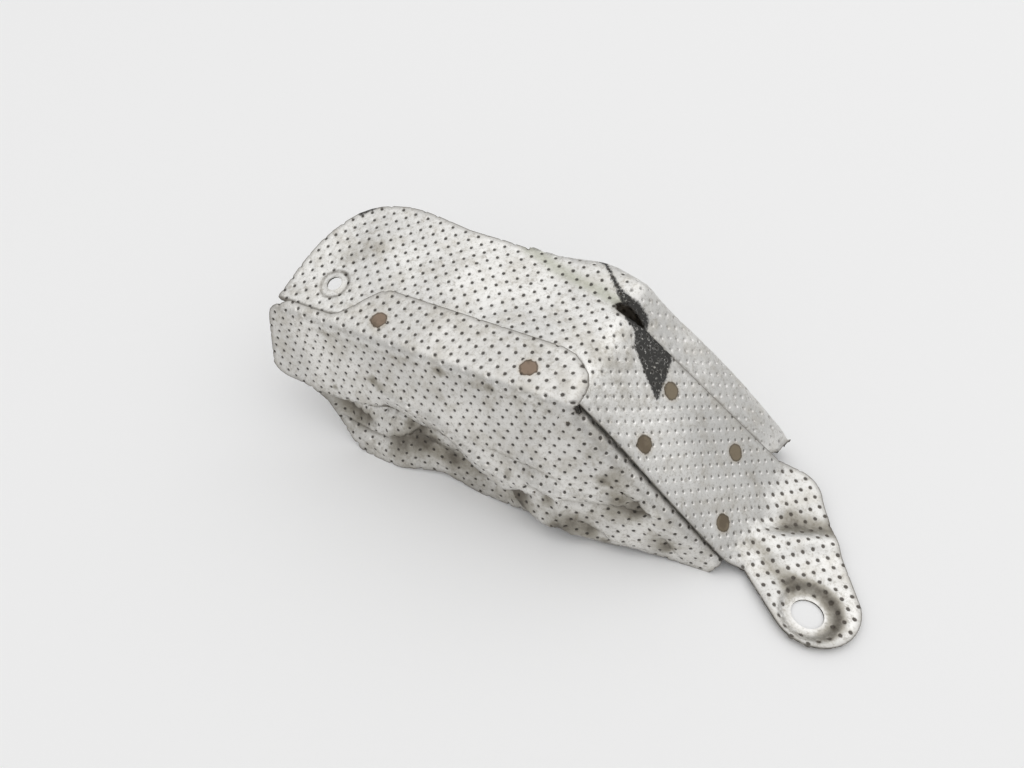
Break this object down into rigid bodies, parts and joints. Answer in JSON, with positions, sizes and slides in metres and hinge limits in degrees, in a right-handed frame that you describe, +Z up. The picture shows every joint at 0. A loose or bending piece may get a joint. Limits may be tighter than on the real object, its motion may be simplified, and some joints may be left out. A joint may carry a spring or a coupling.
{
  "type": "heat shield",
  "caption": "Hooded engine heat shield of two spot-welded dimpled sheets: a flat crown, a steep ramp, a bolting ear with a dished hole, and a crumpled front skirt.",
  "frame": {"origin": "middle of the part's bounding box, on the surface that it rests on", "axes": "+X along the hood from its open end to the bolting ear, +Y from the crumpled front skirt to the back wall, +Z up"},
  "size_m": [0.2625, 0.09, 0.0814],
  "materials": {
    "top_sheet": "satin, embossed, heat-stained",
    "front_sheet": "satin, embossed, grimy"
  },
  "bodies": {
    "root": {"top_sheet": "top_sheet", "front_sheet": "front_sheet"}
  },
  "joints": []
}
